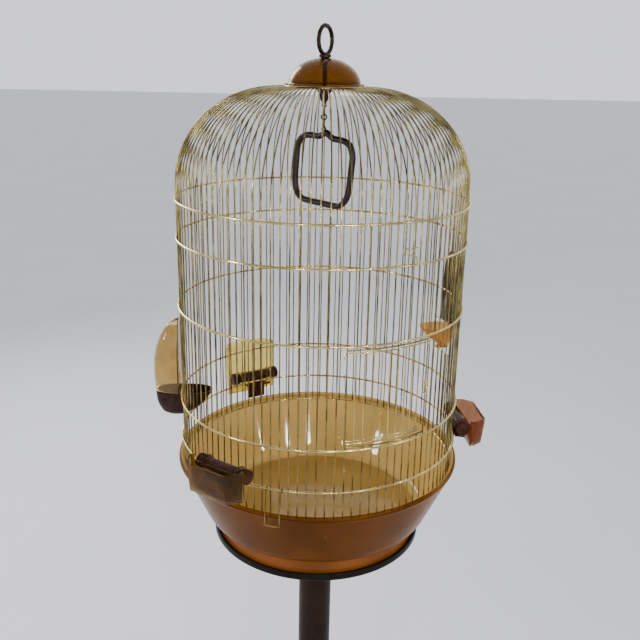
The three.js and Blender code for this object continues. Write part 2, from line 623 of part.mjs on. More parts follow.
const rightCup = cutFrom(boat(RIGHT_RIM_Z, 210, 158, 34, 0), boat(RIGHT_RIM_Z, 210, 158, 34, 1.8));
addMesh('right_feeder_cup', rightCup, COPPER_AMBER(), rightBay);
addMesh('right_feeder_plate', frontSlab([
  [-31, RIGHT_RIM_Z + FIT], [31, RIGHT_RIM_Z + FIT], [31, RIGHT_RIM_Z + 50], [27, RIGHT_RIM_Z + 90],
  [20, RIGHT_RIM_Z + 108], [10, RIGHT_RIM_Z + 112], [-10, RIGHT_RIM_Z + 112], [-20, RIGHT_RIM_Z + 108],
  [-27, RIGHT_RIM_Z + 90], [-31, RIGHT_RIM_Z + 50],
], 203.6, 207.6), BROWN_PLASTIC(), rightBay);

export default object;
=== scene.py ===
"""Looks of the bird cage on its stand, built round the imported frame. Metres, +Z up, -Y is the front.

An azimuth is in degrees round the post: 0 is the front, 90 the right. A bay is a local frame on the cage's
wall, with x outwards and y along the wall.
"""

import math

import bpy
from mathutils import Matrix, Vector


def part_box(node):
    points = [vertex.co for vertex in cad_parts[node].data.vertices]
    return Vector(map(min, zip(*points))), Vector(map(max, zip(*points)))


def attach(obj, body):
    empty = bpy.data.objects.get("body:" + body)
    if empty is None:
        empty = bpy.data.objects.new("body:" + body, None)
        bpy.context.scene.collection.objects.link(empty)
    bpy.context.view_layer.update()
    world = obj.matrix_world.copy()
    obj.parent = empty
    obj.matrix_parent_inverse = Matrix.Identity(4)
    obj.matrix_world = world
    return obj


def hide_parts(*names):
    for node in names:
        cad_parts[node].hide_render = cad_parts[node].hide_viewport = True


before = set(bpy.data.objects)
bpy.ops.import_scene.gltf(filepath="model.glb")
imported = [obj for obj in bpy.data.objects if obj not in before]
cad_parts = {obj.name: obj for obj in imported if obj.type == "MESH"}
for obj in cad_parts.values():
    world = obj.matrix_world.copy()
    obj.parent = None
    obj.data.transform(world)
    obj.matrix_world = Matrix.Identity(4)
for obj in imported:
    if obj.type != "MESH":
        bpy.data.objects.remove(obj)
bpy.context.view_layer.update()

MM = 0.001


def level(node, share=0.5):
    """Height of a CAD node: 0 is its lowest point, 1 its highest."""
    low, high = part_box(node)
    return low.z + (high.z - low.z) * share


# ---------- driving dimensions ----------
HOOPS = [level(f"hoop_{number}") for number in range(1, 6)]
TOP_HOOP = HOOPS[0]
WIRE_COUNT = 106
PITCH = 360 / WIRE_COUNT
FIRST_WIRE = -0.4
CAGE_R = 197.5 * MM
WIRE_R = 0.9 * MM
HOOP_R = 199.7 * MM
HOOP_WIRE_R = 1.6 * MM
SHOULDER_Z = TOP_HOOP + 19 * MM
CROWN_Z = level("crown_plate", 1) - 0.8 * MM
CROWN_R = 62 * MM
CROWN_RING_R = 51.8 * MM
BASE_RING_Z = level("wall_wires_front", 0) + 1.6 * MM

BOWL_RIM = level("bowl", 1)
BOWL_FLOOR = BOWL_RIM - 94.4 * MM
BEAD_INNER_R = 201.2 * MM
PLATE_LOW, PLATE_HIGH = level("stand_plate", 0), level("stand_plate", 1)

DOOR_FIRST, DOOR_LAST = 4, 12
DOOR_R = 194.6 * MM
DOOR_BAR_R = DOOR_R - 0.9 * MM
DOOR_BAR_WIRE_R = 1.1 * MM
DOOR_LOW, DOOR_HIGH = level("door_panel", 0) + 1.4 * MM, level("door_panel", 1) - 1.4 * MM

RIGHT_GAP = (30, 33)
LEFT_GAP = (78, 81)
PLASTIC_WALL = 1.8 * MM
CLIP_HALF, CLIP_WIRE_R, CLIP_LOOP_R = 9.8 * MM, 0.65 * MM, 3 * MM
BAR_OUT = 211.5 * MM
BAR_RISE = 36 * MM  # from the lower end of the tongue to the bar's axis
CUP_BACK, CUP_FRONT = 222 * MM, 247 * MM
CUP_HALF, CUP_FRONT_HALF, CUP_CORNER = 43 * MM, 31 * MM, 15 * MM

WIRE_SIDES = 7
WIRE_SMOOTH = 60  # an edge flatter than this angle, in degrees, is shaded smooth
MOULDED_SMOOTH = 50


def rad(degrees):
    return math.radians(degrees)


def wire_azimuth(index):
    return FIRST_WIRE + index * PITCH


def on_wall(radius, azimuth, z):
    """Point at a radius and azimuth round the post."""
    return Vector((radius * math.sin(rad(azimuth)), -radius * math.cos(rad(azimuth)), z))


def bay(azimuth):
    return Matrix.Rotation(rad(azimuth - 90), 4, "Z")


# ---------- mesh code: a shape is (points, faces) ----------
def joined(*shapes):
    points, faces = [], []
    for shape_points, shape_faces in shapes:
        start = len(points)
        points += shape_points
        faces += [tuple(i + start for i in face) for face in shape_faces]
    return points, faces


def moved(shape, matrix):
    return [matrix @ Vector(p) for p in shape[0]], shape[1]


def loft(rings, closed=False, caps=True):
    """Skin over rings of equally many points."""
    count = len(rings[0])
    points = [Vector(p) for ring in rings for p in ring]
    faces = []
    for row in range(len(rings) if closed else len(rings) - 1):
        a, b = row * count, (row + 1) % len(rings) * count
        for i in range(count):
            j = (i + 1) % count
            faces.append((a + i, a + j, b + j, b + i))
    if caps and not closed:
        faces.append(tuple(reversed(range(count))))
        faces.append(tuple(range(len(points) - count, len(points))))
    return points, faces


def lathe(profile, segments=96):
    """Turned shape of a closed (radius, z) profile; a point on the axis has radius 0."""
    points, faces, rows = [], [], []
    for radius, z in profile:
        rows.append(len(points))
        turns = 1 if radius < 1e-7 else segments
        for i in range(turns):
            angle = 2 * math.pi * i / segments
            points.append(Vector((radius * math.cos(angle), radius * math.sin(angle), z)))
    for index, start in enumerate(rows):
        after = (index + 1) % len(rows)
        one, two = profile[index][0] < 1e-7, profile[after][0] < 1e-7
        if one and two:
            continue
        for i in range(segments):
            j = (i + 1) % segments
            a, b = start, rows[after]
            if one:
                faces.append((a, b + j, b + i))
            elif two:
                faces.append((a + i, a + j, b))
            else:
                faces.append((a + i, a + j, b + j, b + i))
    return points, faces


def tube(path, radius, sides=10, closed=False):
    """Round wire along a path, with no twist. The radius may be a list, one for each point."""
    path = [Vector(p) for p in path]
    count = len(path)
    radii = radius if isinstance(radius, list) else [radius] * count
    tangents = []
    for i in range(count):
        before = path[i - 1] if closed or i else path[i]
        after = path[(i + 1) % count] if closed or i < count - 1 else path[i]
        tangents.append((after - before).normalized())
    normal = tangents[0].orthogonal().normalized()
    normals = [normal]
    for i in range(1, count):
        turn = tangents[i - 1].rotation_difference(tangents[i])
        normal = turn @ normal
        normals.append((normal - tangents[i] * normal.dot(tangents[i])).normalized())
    twist = 0
    if closed:
        last = tangents[-1].rotation_difference(tangents[0]) @ normals[-1]
        twist = math.atan2(last.cross(normals[0]).dot(tangents[0]), last.dot(normals[0]))
    rings = []
    for i in range(count):
        side = tangents[i].cross(normals[i])
        ring = []
        for k in range(sides):
            angle = 2 * math.pi * k / sides + twist * i / count
            ring.append(path[i] + (normals[i] * math.cos(angle) + side * math.sin(angle)) * radii[i])
        rings.append(ring)
    return loft(rings, closed=closed)


def torus(radius, wire, z=0, segments=192, sides=12):
    return tube([on_wall(radius, 360 * i / segments, z) for i in range(segments)], wire, sides, closed=True)


def circle_path(radius, middle, steps):
    """Upright circle across the front. It starts at the top, or at the bottom if the radius is negative."""
    turns = [rad(360 / steps * i) for i in range(steps)]
    return [(abs(radius) * math.sin(turn), 0, middle + radius * math.cos(turn)) for turn in turns]


def smooth_path(points, steps=6, closed=False):
    """Catmull-Rom curve through points."""
    points = [Vector(p) for p in points]
    count = len(points)
    out = []
    for i in range(count if closed else count - 1):
        if closed:
            p0, p1, p2, p3 = (points[(i + k) % count] for k in (-1, 0, 1, 2))
        else:
            p0, p1, p2, p3 = (points[min(max(i + k, 0), count - 1)] for k in (-1, 0, 1, 2))
        for step in range(steps):
            t = step / steps
            out.append(0.5 * (2 * p1 + (p2 - p0) * t + (2 * p0 - 5 * p1 + 4 * p2 - p3) * t * t
                              + (3 * p1 - p0 - 3 * p2 + p3) * t ** 3))
    return out if closed else [*out, points[-1]]


def rounded(corners, radius, steps=4, closed=True):
    """A 2-D outline with each corner turned into a short curve. A radius may be a list, one per corner."""
    corners = [Vector(c) for c in corners]
    count = len(corners)
    out = []
    for i, corner in enumerate(corners):
        if not closed and i in (0, count - 1):
            out.append(corner)
            continue
        before, after = corners[i - 1] - corner, corners[(i + 1) % count] - corner
        reach = radius[i] if isinstance(radius, list) else radius
        reach = min(reach, before.length * 0.48, after.length * 0.48)
        a, b = corner + before.normalized() * reach, corner + after.normalized() * reach
        for step in range(steps + 1):
            t = step / steps
            out.append((1 - t) ** 2 * a + 2 * t * (1 - t) * corner + t * t * b)
    return out


def turned(corners, radius=0.6 * MM, segments=96, steps=3):
    """Lathe of a profile with softened corners: an open one if it starts on the axis, or else a loop."""
    on_axis = corners[0][0] < 1e-7
    return lathe([tuple(p) for p in rounded(corners, radius, steps, closed=not on_axis)], segments)


def curve_through(pairs):
    """Smooth function through (position, value) pairs."""
    def value(position):
        if position <= pairs[0][0]:
            return pairs[0][1]
        for i in range(len(pairs) - 1):
            (x1, y1), (x2, y2) = pairs[i], pairs[i + 1]
            if position <= x2:
                y0 = pairs[max(i - 1, 0)][1]
                y3 = pairs[min(i + 2, len(pairs) - 1)][1]
                t = (position - x1) / (x2 - x1)
                return 0.5 * (2 * y1 + (y2 - y0) * t + (2 * y0 - 5 * y1 + 4 * y2 - y3) * t * t
                              + (3 * y1 - y0 - 3 * y2 + y3) * t ** 3)
        return pairs[-1][1]
    return value


def piece(name, shape, material, body, nodes=(), smooth_angle=35):
    """A finished piece: a mesh with a material, on its body, in place of its CAD nodes."""
    mesh = bpy.data.meshes.new(name)
    mesh.from_pydata([tuple(p) for p in shape[0]], [], shape[1])
    mesh.validate()
    obj = bpy.data.objects.new(name, mesh)
    bpy.context.scene.collection.objects.link(obj)
    bpy.context.view_layer.objects.active = obj
    bpy.ops.object.select_all(action="DESELECT")
    obj.select_set(True)
    bpy.ops.object.mode_set(mode="EDIT")
    bpy.ops.mesh.select_all(action="SELECT")
    bpy.ops.mesh.normals_make_consistent(inside=False)
    bpy.ops.object.mode_set(mode="OBJECT")
    bpy.ops.object.shade_smooth_by_angle(angle=rad(smooth_angle))
    mesh.materials.append(material)
    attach(obj, body)
    if nodes:
        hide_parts(*nodes)
    return obj


# ---------- materials ----------
class Nodes:
    """Short names for the nodes of one material."""

    def __init__(self, name):
        self.material = bpy.data.materials.new(name)
        self.material.use_nodes = True
        self.tree = self.material.node_tree
        self.shader = self.tree.nodes["Principled BSDF"]
        self.place = self.tree.nodes.new("ShaderNodeTexCoord").outputs["Object"]

    def stretched(self, scale):
        mapping = self.tree.nodes.new("ShaderNodeMapping")
        mapping.inputs["Scale"].default_value = scale
        self.tree.links.new(self.place, mapping.inputs["Vector"])
        return mapping.outputs["Vector"]

    def noise(self, scale, detail=4, roughness=0.55, vector=None):
        node = self.tree.nodes.new("ShaderNodeTexNoise")
        node.inputs["Scale"].default_value = scale
        node.inputs["Detail"].default_value = detail
        node.inputs["Roughness"].default_value = roughness
        self.tree.links.new(vector or self.place, node.inputs["Vector"])
        return node.outputs["Fac"]

    def ramp(self, value, *stops):
        node = self.tree.nodes.new("ShaderNodeValToRGB")
        ramp = node.color_ramp
        for index, (position, color) in enumerate(stops):
            stop = ramp.elements[index] if index < 2 else ramp.elements.new(position)
            stop.position = position
            stop.color = (*color, 1) if isinstance(color, tuple) else (color, color, color, 1)
        self.tree.links.new(value, node.inputs["Fac"])
        return node.outputs["Color"]

    def bump(self, height, distance, strength=0.5):
        node = self.tree.nodes.new("ShaderNodeBump")
        node.inputs["Distance"].default_value = distance
        node.inputs["Strength"].default_value = strength
        self.tree.links.new(height, node.inputs["Height"])
        self.tree.links.new(node.outputs["Normal"], self.shader.inputs["Normal"])

    def link(self, output, socket):
        self.tree.links.new(output, self.shader.inputs[socket])

    def set(self, **values):
        for name, value in values.items():
            self.shader.inputs[name.replace("_", " ")].default_value = value


def brass(name, bright, dull, low_roughness=0.12, high_roughness=0.3):
    """Lacquered brass wire: bright metal with duller, browner stretches and fine drawing marks."""
    n = Nodes(name)
    n.link(n.ramp(n.noise(38, 5), (0.36, dull), (0.66, bright)), "Base Color")
    n.link(n.ramp(n.noise(160, 3), (0.3, low_roughness), (0.75, high_roughness)), "Roughness")
    n.bump(n.noise(900, 2), 0.00006, 0.35)
    n.set(Metallic=1.0)
    return n.material


def dark_metal(name, dark, light, metallic, grain=220, depth=0.0002, shine=0.2):
    """Bronze-brown painted or darkened metal, a little uneven, with worn lighter spots."""
    n = Nodes(name)
    n.link(n.ramp(n.noise(grain * 0.25, 6, 0.65), (0.35, dark), (0.72, light)), "Base Color")
    n.link(n.ramp(n.noise(grain, 4), (0.3, 0.32), (0.75, 0.52)), "Roughness")
    n.bump(n.noise(grain * 2.2, 3), depth, 0.35)
    n.set(Metallic=metallic, Specular_IOR_Level=shine)
    return n.material


def clear_plastic(name, light, deep, transmission, roughness, patch, gloss, bend):
    """Tinted see-through plastic, with cloudier patches and hairline scratches."""
    n = Nodes(name)
    n.link(n.ramp(n.noise(patch, 3, 0.5), (0.3, deep), (0.72, light)), "Base Color")
    scratches = n.noise(60, 6, 0.7, n.stretched((1, 1, 0.12)))
    n.link(n.ramp(scratches, (0.35, roughness), (0.8, roughness + 0.08)), "Roughness")
    n.bump(n.noise(55, 2), 0.0003, 0.1)
    n.set(Transmission_Weight=transmission, IOR=bend, Specular_IOR_Level=gloss)
    return n.material


def bowl_plastic(name, inner, outer):
    """Amber plastic with painted light: its upward-facing surfaces inside the bowl take bright honey colours
    as if lit, and its outside and rim take a painted shade of deep brown.
    """
    n = Nodes(name)

    def math_node(kind, node_type="ShaderNodeMath"):
        node = n.tree.nodes.new(node_type)
        node.operation = kind
        return node

    normal = n.tree.nodes.new("ShaderNodeTexCoord").outputs["Normal"]
    split = n.tree.nodes.new("ShaderNodeSeparateXYZ")
    n.tree.links.new(normal, split.inputs["Vector"])
    # how far the surface faces up, which sets the painted light
    upward = n.tree.nodes.new("ShaderNodeMapRange")
    upward.inputs["From Min"].default_value = -0.15
    upward.inputs["From Max"].default_value = 0.25
    n.tree.links.new(split.outputs["Z"], upward.inputs["Value"])
    flat = n.stretched((1, 1, 0))
    radius = math_node("LENGTH", "ShaderNodeVectorMath")
    n.tree.links.new(flat, radius.inputs[0])
    facing = math_node("DOT_PRODUCT", "ShaderNodeVectorMath")
    n.tree.links.new(flat, facing.inputs[0])
    n.tree.links.new(normal, facing.inputs[1])
    # painted shade on the rim bead: its outward-facing surfaces keep the deep brown shade colours even where
    # they face up
    on_rim = math_node("GREATER_THAN")
    on_rim.inputs[1].default_value = BEAD_INNER_R
    n.tree.links.new(radius.outputs["Value"], on_rim.inputs[0])
    outward = math_node("GREATER_THAN")
    outward.inputs[1].default_value = -0.04
    n.tree.links.new(facing.outputs["Value"], outward.inputs[0])
    painted_shade_rim = math_node("MULTIPLY")
    n.tree.links.new(on_rim.outputs["Value"], painted_shade_rim.inputs[0])
    n.tree.links.new(outward.outputs["Value"], painted_shade_rim.inputs[1])
    # painted light mask: 1 where the surface faces up into the bowl, 0 where it faces down or is the rim
    # bead; it mixes the lit and shaded colours and also sets the transmission and the gloss coat
    painted_light_mask = math_node("SUBTRACT")
    painted_light_mask.use_clamp = True
    n.tree.links.new(upward.outputs["Result"], painted_light_mask.inputs[0])
    n.tree.links.new(painted_shade_rim.outputs["Value"], painted_light_mask.inputs[1])

    cloud = n.noise(14, 4, 0.5)
    mix = n.tree.nodes.new("ShaderNodeMix")
    mix.data_type = "RGBA"
    n.tree.links.new(painted_light_mask.outputs["Value"], mix.inputs["Factor"])
    n.tree.links.new(n.ramp(cloud, (0.3, outer[0]), (0.72, outer[1])), mix.inputs["A"])
    n.tree.links.new(n.ramp(cloud, (0.3, inner[0]), (0.72, inner[1])), mix.inputs["B"])
    n.link(mix.outputs["Result"], "Base Color")
    n.link(n.ramp(painted_light_mask.outputs["Value"], (0.0, 0.9), (1.0, 0.55)), "Transmission Weight")
    scratches = n.noise(60, 6, 0.7, n.stretched((1, 1, 0.12)))
    n.link(n.ramp(scratches, (0.35, 0.2), (0.8, 0.3)), "Roughness")
    n.link(n.ramp(painted_light_mask.outputs["Value"], (0.0, 0.0), (1.0, 0.5)), "Coat Weight")
    n.bump(n.noise(40, 2), 0.0003, 0.1)
    n.set(IOR=1.1, Specular_IOR_Level=0.05, Coat_Roughness=0.05)
    return n.material


def brown_plastic(name, dark, light, shine):
    """Moulded dark brown plastic: glossy, with faint orange peel and dusty patches."""
    n = Nodes(name)
    n.link(n.ramp(n.noise(70, 5, 0.6), (0.38, dark), (0.75, light)), "Base Color")
    n.link(n.ramp(n.noise(140, 4), (0.3, 0.26), (0.75, 0.42)), "Roughness")
    n.bump(n.noise(420, 2), 0.00015, 0.25)
    n.set(IOR=1.5, Specular_IOR_Level=shine)
    return n.material


def felt(name):
    n = Nodes(name)
    fuzz = n.ramp(n.noise(900, 4, 0.7), (0.3, (0.012, 0.011, 0.01)), (0.75, (0.05, 0.046, 0.042)))
    n.link(fuzz, "Base Color")
    n.bump(n.noise(1400, 3), 0.0005, 0.8)
    n.set(Roughness=0.95)
    return n.material


# the same brass in two brightnesses: this copy for the wall wires and clips is darkened as painted shade,
# standing in for the dark room they reflect
WIRE_BRASS_PAINTED_SHADE = brass("brass_wire_painted_shade", (0.46, 0.37, 0.13), (0.09, 0.066, 0.022))
# this copy for the hoops, door, catch, coil and bracket rings is brightened as a painted highlight
HOOP_BRASS_PAINTED_HIGHLIGHT = brass("brass_hoop_painted_highlight", (0.88, 0.71, 0.30), (0.44, 0.32, 0.11), 0.1, 0.24)
PLATE = dark_metal("bronze_paint", (0.004, 0.003, 0.002), (0.012, 0.008, 0.005), metallic=0.2, shine=0.1)
POST = dark_metal("bronze_post", (0.008, 0.004, 0.0025), (0.026, 0.012, 0.007), metallic=0.25, grain=90,
                  shine=0.12)
IRON = dark_metal("dark_metal", (0.010, 0.006, 0.005), (0.060, 0.036, 0.024), metallic=0.7, grain=420,
                  depth=0.0005)
STEEL = dark_metal("plain_steel", (0.35, 0.35, 0.35), (0.6, 0.6, 0.6), metallic=1.0)
# inner: the painted lit colours of the bowl's inside; outer: the painted shade colours of its outside and rim
BOWL = bowl_plastic("amber_plastic", ((0.62, 0.40, 0.10), (0.74, 0.50, 0.15)),
                    ((0.20, 0.086, 0.013), (0.35, 0.152, 0.026)))
BOWL_FOOT = clear_plastic("amber_foot", (0.32, 0.10, 0.018), (0.16, 0.05, 0.010),
                          transmission=0.35, roughness=0.2, patch=12, gloss=0.1, bend=1.3)
DOME = clear_plastic("amber_dome", (0.42, 0.245, 0.065), (0.27, 0.15, 0.038),
                     transmission=0.96, roughness=0.14, patch=22, gloss=0.12, bend=1.15)
COPPER = clear_plastic("copper_plastic", (0.45, 0.22, 0.12), (0.34, 0.15, 0.07),
                       transmission=0.96, roughness=0.06, patch=60, gloss=0.08, bend=1.15)
PALE_AMBER = clear_plastic("pale_amber_plastic", (0.86, 0.50, 0.17), (0.72, 0.38, 0.10),
                           transmission=0.85, roughness=0.06, patch=60, gloss=0.1, bend=1.2)
OLIVE = clear_plastic("olive_plastic", (0.44, 0.29, 0.11), (0.32, 0.20, 0.07),
                      transmission=0.95, roughness=0.08, patch=60, gloss=0.08, bend=1.2)
HONEY = clear_plastic("honey_plastic", (0.98, 0.80, 0.28), (0.90, 0.68, 0.18),
                      transmission=0.85, roughness=0.06, patch=60, gloss=0.15, bend=1.22)
SMOKE = clear_plastic("smoke_plastic", (0.80, 0.63, 0.33), (0.66, 0.49, 0.21),
                      transmission=0.9, roughness=0.05, patch=50, gloss=0.3, bend=1.3)
BROWN = brown_plastic("brown_plastic", (0.014, 0.005, 0.004), (0.040, 0.015, 0.012), shine=0.15)
RUSSET = brown_plastic("russet_plastic", (0.024, 0.008, 0.005), (0.080, 0.025, 0.015), shine=0.12)
SWING = brown_plastic("swing_plastic", (0.010, 0.005, 0.004), (0.034, 0.017, 0.012), shine=0.2)
FELT = felt("dark_felt")


# ---------- stand ----------
def make_stand():
    felt_r, felt_high = 170 * MM, level("base_felt", 1)
    piece("foot_felt", turned([(0, 0), (felt_r, 0), (felt_r, felt_high), (0, felt_high)]),
          FELT, "stand", ["base_felt"])
    foot_low, foot_high = level("stand_base", 0), level("stand_base", 1)
    foot = turned([
        (4.6 * MM, foot_low + 9 * MM), (12 * MM, foot_low + 9 * MM), (12 * MM, foot_low),
        (172 * MM, foot_low), (180 * MM, foot_low + 3 * MM), (180 * MM, foot_low + 7 * MM),
        (174 * MM, foot_low + 9.5 * MM),
        (60 * MM, foot_low + 15 * MM), (40 * MM, foot_high), (4.6 * MM, foot_high)], 4 * MM, 128, 5)
    piece("foot", foot, PLATE, "stand", ["stand_base"])
    low, high = level("base_collar", 0), level("base_collar", 1)
    collar = turned([(25.7 * MM, low), (36 * MM, low), (36 * MM, low + 6 * MM), (31 * MM, low + 12 * MM),
                     (29.5 * MM, high), (25.7 * MM, high)], 1.5 * MM)
    piece("foot_collar", collar, PLATE, "stand", ["base_collar"])
    low, high = level("stand_post", 0), level("stand_post", 1)
    post = turned([(23.6 * MM, low), (25.4 * MM, low), (25.4 * MM, high), (23.6 * MM, high)], 0.4 * MM)
    piece("post", post, POST, "stand", ["stand_post"])
    for node in ("tie_rod", "rod_nut"):
        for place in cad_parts[node].material_slots:
            place.material = STEEL
    low, high = level("plate_flange", 0), level("plate_flange", 1)
    flange = turned([
        (4.3 * MM, high - 16 * MM), (9 * MM, high - 16 * MM), (9 * MM, high - 4 * MM),
        (23.3 * MM, high - 4 * MM), (25.7 * MM, high - 4 * MM), (25.7 * MM, low), (30 * MM, low),
        (30 * MM, high - 8 * MM),
        (36 * MM, high - 4 * MM), (62 * MM, high - 4 * MM), (62 * MM, high), (4.3 * MM, high)], 1 * MM)
    piece("plate_socket", flange, PLATE, "stand", ["plate_flange"])
    channel = PLATE_LOW + 2.2 * MM
    pad = PLATE_HIGH
    plate = turned([
        (0, pad - 1.8 * MM), (118 * MM, pad - 1.8 * MM), (119 * MM, pad - 4 * MM), (119.4 * MM, PLATE_LOW),
        (154 * MM, PLATE_LOW), (156 * MM, channel), (156 * MM, channel + 8 * MM),
        (154.4 * MM, channel + 9.5 * MM), (152.8 * MM, channel + 8 * MM), (152.2 * MM, channel),
        (122 * MM, channel), (121 * MM, pad - 2 * MM), (119 * MM, pad), (0, pad)], 0.9 * MM, 160)
    piece("plate", plate, PLATE, "stand", ["stand_plate"])


# ---------- bowl ----------
def make_bowl():
    bead = BOWL_RIM - 4.4 * MM
    foot = level("bowl", 0)
    floor = BOWL_FLOOR
    corners = [
        (0, floor - 3.2 * MM), (150.6 * MM, floor - 3.2 * MM), (162.5 * MM, floor - 1.6 * MM),
        (168.5 * MM, floor + 6.5 * MM), (204.4 * MM, bead - 4.6 * MM), (206.8 * MM, bead - 1.6 * MM),
        (205.8 * MM, bead + 3.2 * MM), (203.4 * MM, BOWL_RIM), (200.8 * MM, bead + 2.4 * MM),
        (200.8 * MM, bead - 4.6 * MM), (166.1 * MM, floor + 7 * MM), (161 * MM, floor), (0, floor)]
    reach = [0, 2, 5, 6, 2, 2.4, 2.4, 2.4, 2, 3, 6, 5, 0]
    profile = rounded(corners, [r * MM for r in reach], 6, closed=False)
    piece("bowl_shell", lathe([tuple(p) for p in profile], 192), BOWL, "bowl", ["bowl"])
    foot_high = floor - 3.4 * MM
    foot_ring = turned([(147 * MM, foot), (150 * MM, foot), (150.6 * MM, foot_high), (147 * MM, foot_high)],
                       0.5 * MM, 192)
    piece("bowl_foot", foot_ring, BOWL_FOOT, "bowl")


# ---------- cage ----------
def wall_run(index, low, high, radius=CAGE_R):
    """A nearly straight upright wire, with the slight waver of drawn wire."""
    azimuth = wire_azimuth(index)
    steps = max(1, round((high - low) / 0.06))
    path = []
    for step in range(steps + 1):
        z = low + (high - low) * step / steps
        waver = 0.12 * MM * math.sin(index * 2.4 + z * 31)
        path.append(on_wall(radius + waver, azimuth + 0.035 * math.sin(index * 5.1 + z * 17), z))
    return path


def dome_run(index):
    """From the shoulder over the dome to the crown ring."""
    path = []
    for step in range(1, 19):
        bend = rad(90 * step / 18)
        radius = CROWN_R + (CAGE_R - CROWN_R) * math.cos(bend)
        z = SHOULDER_Z + (CROWN_Z - SHOULDER_Z) * math.sin(bend)
        path.append(on_wall(radius, wire_azimuth(index), z))
    path.append(on_wall(CROWN_RING_R, wire_azimuth(index), CROWN_Z))
    return path


def full_wire(index, gap=None):
    low = BASE_RING_Z
    if not gap:
        return [tube(wall_run(index, low, SHOULDER_Z) + dome_run(index), WIRE_R, WIRE_SIDES)]
    under, over = gap
    return [
        tube(wall_run(index, low, under), WIRE_R, WIRE_SIDES),
        tube(wall_run(index, over, SHOULDER_Z) + dome_run(index), WIRE_R, WIRE_SIDES),
    ]


def arc_wire(radius, z, first, last, wire=WIRE_R):
    """Short level wire along the wall, from one wire's place to another's."""
    steps = max(4, round(last - first) * 3)
    azimuths = [wire_azimuth(first + (last - first) * i / steps) for i in range(steps + 1)]
    return tube([on_wall(radius, a, z) for a in azimuths], wire, 8)


def make_wires():
    right_gap = (level("right_feeder_cup", 0) - 9 * MM, level("right_feeder_cup", 1) + 5.5 * MM)
    left_gap = (level("left_feeder_cup", 0) - 7 * MM, level("left_feeder_cup", 1) + 6.5 * MM)
    groups = [("front", -9, 3, None, None), ("front_right", 13, 26, None, None),
              ("right", 27, 40, RIGHT_GAP, right_gap), ("back_right", 41, 54, None, None),
              ("back_left", 55, 68, None, None), ("left", 69, 82, LEFT_GAP, left_gap),
              ("front_left", 83, 96, None, None)]
    for name, first, last, gap, heights in groups:
        shapes = []
        for index in range(first, last + 1):
            cut = gap and gap[0] <= index <= gap[1]
            shapes += full_wire(index, heights if cut else None)
        if gap:
            for z in heights:
                shapes.append(arc_wire(CAGE_R, z, gap[0] - 1, gap[1] + 1))
        piece(f"wires_{name}", joined(*shapes), WIRE_BRASS_PAINTED_SHADE, "cage",
              [f"wall_wires_{name}", f"dome_wires_{name}"], WIRE_SMOOTH)

    door_wires = range(DOOR_FIRST, DOOR_LAST + 1)
    header = level("wall_wires_above_door", 0) + 1.5 * MM
    first, last = DOOR_FIRST - 0.9, DOOR_LAST + 0.9
    above = [tube(wall_run(i, header, SHOULDER_Z) + dome_run(i), WIRE_R, WIRE_SIDES) for i in door_wires]
    above.append(arc_wire(CAGE_R, header, first, last, DOOR_BAR_WIRE_R))
    piece("wires_above_door", joined(*above), WIRE_BRASS_PAINTED_SHADE, "cage",
          ["wall_wires_above_door", "dome_wires_over_door"], WIRE_SMOOTH)
    sill = level("wall_wires_below_door", 1) - 1 * MM
    below = [tube(wall_run(i, BASE_RING_Z, sill), WIRE_R, WIRE_SIDES) for i in door_wires]
    below.append(arc_wire(CAGE_R, sill, first, last, DOOR_BAR_WIRE_R))
    piece("wires_below_door", joined(*below), WIRE_BRASS_PAINTED_SHADE, "cage", ["wall_wires_below_door"], WIRE_SMOOTH)


def make_hoops():
    for number, z in enumerate(HOOPS, 1):
        piece(f"round_hoop_{number}", torus(HOOP_R, HOOP_WIRE_R, z), HOOP_BRASS_PAINTED_HIGHLIGHT, "cage",
              [f"hoop_{number}"], WIRE_SMOOTH)
    piece("base_hoop", torus(CAGE_R - 0.4 * MM, 1.2 * MM, BASE_RING_Z), HOOP_BRASS_PAINTED_HIGHLIGHT, "cage",
          smooth_angle=WIRE_SMOOTH)
    piece("crown_hoop", torus(CROWN_RING_R, 1.7 * MM, CROWN_Z, 128), HOOP_BRASS_PAINTED_HIGHLIGHT, "cage",
          smooth_angle=WIRE_SMOOTH)


